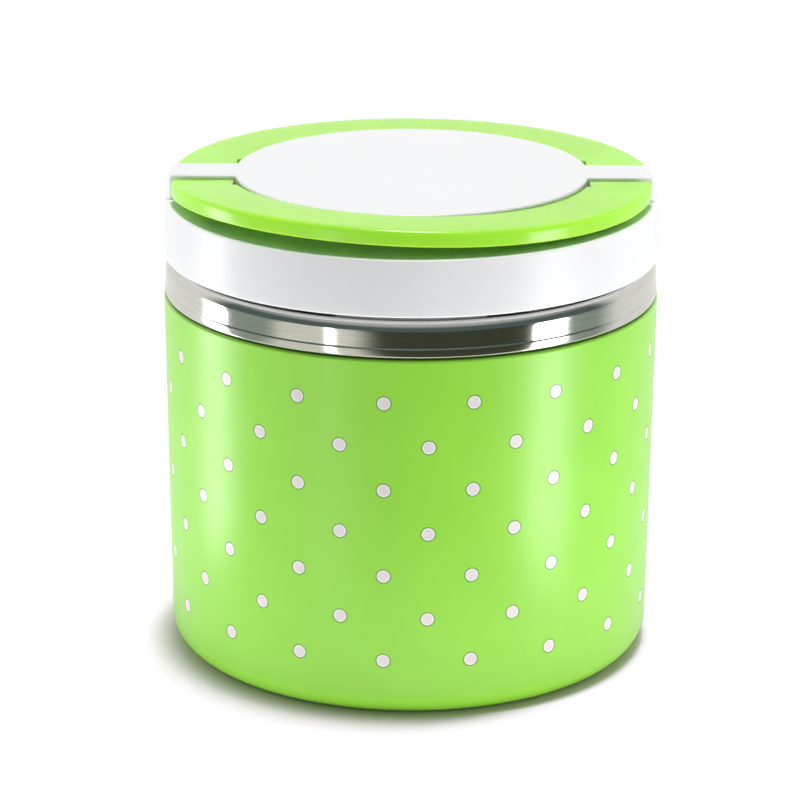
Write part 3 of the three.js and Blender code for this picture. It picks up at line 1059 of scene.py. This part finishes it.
@dataclass
class Handle:
    """Half-ring handle with barrel ends round its pins and a cored, ribbed underside."""

    side: Side
    finish: Plastic
    inner: float = 0.0522
    outer: float = 0.0704
    bottom: float = 0.1375
    thickness: float = 0.0046
    end: float = 0.0082  # from the box's middle to the handle's straight ends
    corner: float = 0.003  # round of the outer corners, seen from above
    notch_end: float = 0.0158
    notch_edge: float = 0.05155
    grip_round: float = 0.0014  # outer top edge
    barrel_round: float = 0.0024  # lower edge of the ends
    end_round: float = 0.0010  # upper edge of the ends
    edge_round: float = 0.0006  # every other edge
    wall: float = 0.0024
    skin: float = 0.0022
    rib: float = 0.0018
    pockets: int = 8
    pocket_pitch: float = 16  # degrees
    hinge_offset: float = 0.0106
    hinge_height: float = 0.1399
    lift: float = 1.4  # degrees that the front handle stands open in its middle
    give: float = 2.0  # degrees more at its left end and less at its right end

    def ring(self, name: str) -> Piece:
        """Turns a whole ring of the handle's section.

        Args:
            name: the piece's name.

        Returns:
            The ring, in edit mode.
        """
        top = self.bottom + self.thickness
        middle = self.bottom + self.thickness / 2
        return turn(name, [
            Corner(self.inner, middle),
            Corner(self.inner, self.bottom, self.edge_round),
            Corner(self.outer, self.bottom, self.edge_round),
            Corner(self.outer, top, self.grip_round),
            Corner(self.inner, top, self.edge_round),
            Corner(self.inner, middle),
        ], Closing.LOOP)

    def trim_ends(self) -> None:
        """Cuts the ring down to a half ring, with barrel ends and round outer corners."""
        top = self.bottom + self.thickness
        outward = Vector((0, 1, 0))
        cut_off(Vector((0, -self.end, 0)), outward)
        barrel = Vector((0, -self.end - self.barrel_round, self.bottom + self.barrel_round))
        round_off(barrel, self.barrel_round, outward, Vector((0, 0, -1)))
        brow = Vector((0, -self.end - self.end_round, top - self.end_round))
        round_off(brow, self.end_round, outward, Vector((0, 0, 1)))
        corner_y = -(self.end + self.corner)
        corner_x = math.sqrt((self.outer - self.corner) ** 2 - corner_y ** 2)
        for sign in (-1, 1):
            corner = Vector((sign * corner_x, corner_y, 0))
            round_off(corner, self.corner, outward, corner.normalized())

    def notch_tool(self) -> Piece:
        """Makes the block that clears the raised top beside both ends.

        Returns:
            The block.
        """
        clear_bench()
        depth = self.notch_end - self.end / 2
        bpy.ops.mesh.primitive_cube_add(
            size=1, location=(0, -self.notch_end + depth / 2, self.bottom),
            scale=(2 * self.notch_edge, depth, 4 * self.thickness))
        tool = bpy.context.object
        bpy.ops.object.transform_apply()
        return tool

    def core_underside(self, handle: Piece) -> None:
        """Sinks the pockets into the underside and leaves ribs between them.

        Args:
            handle: the ring, in edit mode.
        """
        half_span = self.pockets * self.pocket_pitch / 2
        middle = (self.inner + self.outer) / 2
        reach = (self.outer - self.inner) / 2 - self.wall
        depth = self.thickness - self.skin

        def in_span(place: Vector, start: float, stop: float) -> bool:
            """Says whether a face lies underneath, mid-way across, and between two angles.

            Args:
                place: the face's middle.
                start: the first angle.
                stop: the second angle.

            Returns:
                True where it does.
            """
            underneath = abs(place.z - self.bottom) < SAME_PLACE
            across = abs(radius_of(place) - middle) < reach
            return underneath and across and start < angle_from_front(place) < stop

        pick(handle, Part.FACE, lambda place: in_span(place, -half_span, half_span))
        bpy.ops.mesh.inset(thickness=self.wall - self.edge_round - self.rib / 2)
        for i in range(self.pockets):
            start = -half_span + i * self.pocket_pitch
            stop = start + self.pocket_pitch
            pick(handle, Part.FACE, lambda place: in_span(place, start, stop))
            bpy.ops.mesh.inset(thickness=self.rib / 2)
            bpy.ops.mesh.extrude_region_move(TRANSFORM_OT_translate={"value": (0, 0, depth)})

    def open_a_little(self, handle: Piece) -> None:
        """Swings the front handle about its pins, the left side further than the right.

        Args:
            handle: the flat handle.
        """
        axis = Vector((0, -self.hinge_offset, self.hinge_height))
        take(handle)
        bpy.context.scene.cursor.location = axis
        bpy.ops.object.origin_set(type="ORIGIN_CURSOR")
        twist = math.radians(2 * self.give)
        apply_modifier(handle, "SIMPLE_DEFORM", deform_method="TWIST", deform_axis="X", angle=twist)
        swing(handle, self.lift, "X", axis)

    def build(self) -> Piece:
        """Makes the handle and folds it to its place at rest.

        Returns:
            The finished handle.
        """
        node = self.side.value + "_handle"
        handle = self.ring(node + "_grip")
        self.core_underside(handle)
        self.trim_ends()
        combine(handle, self.notch_tool(), "DIFFERENCE")
        if self.side is Side.REAR:
            swing(handle, FULL_TURN / 2, "Z", Vector((0, 0, 0)))
        else:
            self.open_a_little(handle)
        return complete(handle, self.finish.make(), node, "green_handle", node)


@dataclass(frozen=True)
class Lamp:
    """Soft box that looks at the lunch box."""

    name: str
    place: Spot
    width: float
    height: float
    power: float  # watts
    aim: Spot = (0.0, 0.0, 0.08)

    def build(self) -> None:
        """Hangs the lamp and turns it to the box."""
        data = bpy.data.lights.new(self.name, "AREA")
        data.shape = "RECTANGLE"
        data.size = self.width
        data.size_y = self.height
        data.energy = self.power
        lamp = bpy.data.objects.new(self.name, data)
        bpy.context.scene.collection.objects.link(lamp)
        lamp.location = self.place
        look = Vector(self.aim) - Vector(self.place)
        lamp.rotation_euler = look.to_track_quat("-Z", "Y").to_euler()


@dataclass
class Studio:
    """White studio: floor, world, soft boxes and the camera of the photograph's view."""

    lamps: tuple[Lamp, ...]
    target: Spot = (-0.0030, 0.0, 0.0724)
    elevation: float = 18.03  # degrees that the camera looks down
    roll: float = 0.31  # degrees
    distance: float = 1.0079
    lens: float = 152.1  # millimetres on a 36 mm sensor
    sensor: float = 36.0
    floor_radius: float = 0.16
    floor_white: float = 0.93
    floor_roughness: float = 0.7
    floor_gloss: float = 0.2
    green_cast_cancel: Colour = (0.90, 0.70, 0.98)  # pink painted into the floor close to the box, which cancels the green light that the shell throws on it
    cast_start: float = 0.070
    cast_end: float = 0.140
    shadow_middle: Spot = (-0.030, 0.008, 0.0)
    shadow_reach: float = 0.088  # from that middle; the shadow fades into plain white past it
    shadow_fade: float = 0.014
    contact_start: float = 0.0695  # the dark line round the foot fades out from here
    contact_end: float = 0.0735
    lift: float = 0.42  # white added to the floor for the camera, past the contact shadow
    lift_start: float = 0.068
    lift_fade: float = 0.012
    wall_white: Colour = (0.92, 0.92, 0.88)
    paper_white: Colour = (0.80, 0.80, 0.71)
    side_dim: Colour = (0.30, 0.35, 0.30)
    front_dark: Colour = (0.05, 0.06, 0.035)
    dark_turn: float = 20  # degrees that the dark front is turned to the right
    room_dim: Colour = (0.10, 0.14, 0.13)
    ceiling: Colour = (0.60, 0.61, 0.60)
    front_edge: Span = (0.64, 0.82)  # soft edges of the mirrored room, as parts of a direction
    side_edge: Span = (0.84, 0.93)
    horizon_edge: Span = (-0.04, 0.06)
    ceiling_edge: Span = (0.40, 0.80)
    wall_edge: Span = (0.05, 0.40)
    overhead_turn: Span = (-0.6, 0.3)  # soft edges of the world's light
    below_edge: Span = (-0.08, 0.02)
    below_front_turn: Span = (-0.95, -0.45)
    below_back_turn: Span = (0.15, 0.7)
    light_front: float = 0.10
    light_behind: float = 0.50
    light_below: float = 1.6
    light_below_front: float = 1.05
    light_below_back: float = 0.9
    table_light: float = 1.2  # glow of the table, seen by diffuse rays only, that lights the box; painted shade of the box takes it out close to the box
    # where the table's glow starts and where it is full: the painted shade of the box on the table
    table_dark: float = 0.064
    table_bright: float = 0.082

    def camera(self) -> None:
        """Sets the camera at the photograph's view."""
        data = bpy.data.cameras.new("camera")
        data.lens = self.lens
        data.sensor_width = self.sensor
        camera = bpy.data.objects.new("camera", data)
        bpy.context.scene.collection.objects.link(camera)
        tilt = math.radians(self.elevation)
        roll = math.radians(self.roll)
        ahead = Vector((0, math.cos(tilt), -math.sin(tilt)))
        level = Vector((1, 0, 0))
        upright = Vector((0, math.sin(tilt), math.cos(tilt)))
        right = level * math.cos(roll) + upright * math.sin(roll)
        up = upright * math.cos(roll) - level * math.sin(roll)
        turned = Matrix((right, up, -ahead)).transposed()
        camera.location = Vector(self.target) - ahead * self.distance
        camera.rotation_euler = turned.to_euler()
        bpy.context.scene.camera = camera

    def mirrored_room(self, pen: Pen, way: list[Socket]) -> Socket:
        """Draws the room as polished faces mirror it: dark in front, pale behind, below and overhead.

        Args:
            pen: the world's pen.
            way: a direction's parts to the right, to the back and up.

        Returns:
            The room's colour.
        """
        aside, across, up = way
        turned = math.radians(self.dark_turn)
        to_right = pen.math("MULTIPLY", aside, math.sin(turned))
        facing = pen.math("SUBTRACT", to_right, pen.math("MULTIPLY", across, math.cos(turned)))
        in_front = pen.ramp(facing, *self.front_edge)
        at_side = pen.ramp(pen.math("ABSOLUTE", aside), *self.side_edge)
        table = pen.mix(at_side, (*self.paper_white, 1), (*self.side_dim, 1))
        below = pen.mix(in_front, table, (*self.front_dark, 1))
        above = pen.ramp(up, *self.horizon_edge)
        overhead = pen.ramp(up, *self.ceiling_edge)
        room = pen.mix(above, below, pen.mix(overhead, (*self.room_dim, 1), (*self.ceiling, 1)))
        behind = pen.ramp(across, *self.wall_edge)
        return pen.mix(behind, room, (*self.wall_white, 1))

    def world(self) -> None:
        """Makes the world: white to the camera, a room to polished faces, soft light on all else."""
        world = bpy.data.worlds.new("studio")
        bpy.context.scene.world = world
        world.use_nodes = True
        pen = Pen(world.node_tree)
        path = pen.add("LightPath")
        way = pen.split(pen.add("TexCoord").outputs["Generated"])
        _, across, up = way
        overhead = pen.ramp(across, *self.overhead_turn, self.light_front, self.light_behind)
        from_below = pen.ramp(up, *self.below_edge, 1.0, 0.0)
        in_front = pen.ramp(across, *self.below_front_turn, self.light_below_front, self.light_below)
        at_back = pen.ramp(across, *self.below_back_turn, self.light_below, self.light_below_back)
        below = pen.math("MINIMUM", in_front, at_back)
        light = pen.math("MAXIMUM", overhead, pen.math("MULTIPLY", from_below, below))
        soft = pen.add("CombineXYZ")
        for socket in soft.inputs:
            pen.feed(socket, light)
        shown = pen.mix(path.outputs["Is Glossy Ray"], soft.outputs[0], self.mirrored_room(pen, way))
        clear = pen.math("MAXIMUM", path.outputs["Is Camera Ray"], path.outputs["Is Transmission Ray"])
        back = pen.tree.nodes["Background"]
        pen.feed(back.inputs["Color"], pen.mix(clear, shown, (1, 1, 1, 1)))

    def floor(self) -> None:
        """Lays the round table top, which keeps the box's shadow and is plain white further out. Close to
        the box a pink tint is painted in to cancel the shell's green light, and the table glows for diffuse
        rays, with painted shade of the box taking the glow out near it.
        """
        clear_bench()
        bpy.ops.mesh.primitive_circle_add(
            vertices=SEGMENTS, radius=self.floor_radius, fill_type="NGON", location=(0, 0, 0))
        floor = bpy.context.object
        floor.name = "floor"
        pen = Nodes("white_floor")
        length = pen.add("VectorMath", operation="LENGTH")
        pen.feed(length.inputs[0], pen.place)
        reach = length.outputs["Value"]
        # pink tint painted into the floor close to the box, which cancels the green light the shell throws
        # on it
        clear = pen.ramp(reach, self.cast_start, self.cast_end)
        white = (self.floor_white, self.floor_white, self.floor_white, 1)
        pen.set("Base Color", pen.mix(clear, (*self.green_cast_cancel, 1), white))
        pen.set("Roughness", self.floor_roughness)
        pen.set("Specular IOR Level", self.floor_gloss)
        aside = pen.add("VectorMath", operation="DISTANCE")
        pen.feed(aside.inputs[0], pen.place)
        aside.inputs[1].default_value = self.shadow_middle
        shadow_end = self.shadow_reach + self.shadow_fade
        past_shadow = pen.ramp(aside.outputs["Value"], self.shadow_reach, shadow_end)
        past_contact = pen.ramp(reach, self.contact_start, self.contact_end)
        far = pen.math("MINIMUM", past_shadow, past_contact)
        path = pen.add("LightPath")
        shown = pen.math("MAXIMUM", path.outputs["Is Camera Ray"], path.outputs["Is Transmission Ray"])
        lift = pen.ramp(reach, self.lift_start, self.lift_start + self.lift_fade, 0.0, self.lift)
        pen.set("Emission Color", (1, 1, 1, 1))
        # the table's glow for diffuse rays, with painted shade of the box taking it out close to the box
        bounce = pen.ramp(reach, self.table_dark, self.table_bright, 0.0, self.table_light)
        unseen = pen.math("MULTIPLY", path.outputs["Is Diffuse Ray"], bounce)
        pen.set("Emission Strength", pen.math("ADD", pen.math("MULTIPLY", lift, shown), unseen))
        plain = pen.add("Emission")
        mix = pen.add("MixShader")
        pen.feed(mix.inputs[0], pen.math("MULTIPLY", far, shown))
        pen.feed(mix.inputs[1], pen.shader.outputs[0])
        pen.feed(mix.inputs[2], plain.outputs[0])
        pen.feed(pen.tree.nodes["Material Output"].inputs["Surface"], mix.outputs[0])
        dress(floor, pen.material)

    def build(self) -> None:
        """Sets up the whole studio."""
        bpy.context.scene.view_settings.view_transform = "Standard"
        self.camera()
        self.world()
        self.floor()
        for lamp in self.lamps:
            lamp.build()


SHELL_GREEN = DottedPlastic(
    "green_printed_plastic", (0.305, 0.76, 0.04), 0.34, clouding=0.015, gloss_coat=0.35)
HANDLE_GREEN = Plastic(
    "green_handle_plastic", (0.40, 0.95, 0.045), 0.22, glow=0.6, glow_depth=0.008, peel=0.02)
LID_WHITE = Plastic(
    "white_lid_plastic", (0.845, 0.855, 0.87), 0.34, clouding=0.004, glow=0.5, glow_depth=0.0012, peel=0.0)
PLATE_WHITE = Plastic("white_plate_plastic", (0.86, 0.87, 0.87), 0.4, clouding=0.015)
SEAL_SILICONE = Plastic("milky_silicone", (0.78, 0.80, 0.79), 0.5, clouding=0.02, glow=0.3, glow_depth=0.002)
COLLAR_STEEL = Steel("polished_collar_steel", (0.66, 0.66, 0.63), 0.08, 0.04)
BOWL_STEEL = Steel("satin_bowl_steel", (0.60, 0.60, 0.59), 0.34, 0.2, lines=1500)
PIN_STEEL = Steel("plain_pin_steel", (0.60, 0.60, 0.59), 0.34, 0.1)
LIGHT_FOAM = Foam("light_foam", (0.90, 0.86, 0.74))

LAMPS = (
    Lamp("right_box", (0.72, -0.35, -0.14), 0.24, 0.54, 2.75),
    Lamp("left_box", (-0.82, 0.12, -0.14), 0.22, 0.54, 2.5),
    Lamp("left_strip", (-0.456, -0.64, -0.14), 0.06, 0.54, 0.35),
    Lamp("top_box", (0.06, 0.08, 2.2), 0.32, 0.32, 31.6),
)


def report(piece: Piece) -> None:
    """Logs a finished piece with its count of faces."""
    LOG.info("%s: %d faces", piece.name, len(piece.data.polygons))


def dress_foam() -> None:
    """Gives the hidden foam pieces their finish."""
    material = LIGHT_FOAM.make()
    for node in ("foam_insulation", "lid_insulation"):
        dress(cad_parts[node], material)
        LOG.info("%s: dressed", node)


def main() -> None:
    """Builds every sub-assembly in order, then the studio."""
    logging.basicConfig(level=logging.INFO, format="%(name)s %(message)s")
    report(OuterShell(SHELL_GREEN).build())
    report(SteelCollar(COLLAR_STEEL).build())
    report(InnerBowl(BOWL_STEEL).build())
    lid = Lid(LID_WHITE, PLATE_WHITE, SEAL_SILICONE, PIN_STEEL)
    report(lid.cover())
    report(lid.inner_plate())
    report(lid.seal())
    for pin in lid.pins():
        report(pin)
    for side in Side:
        report(Handle(side, HANDLE_GREEN).build())
    dress_foam()
    Studio(LAMPS).build()


if __name__ == "__main__":
    main()
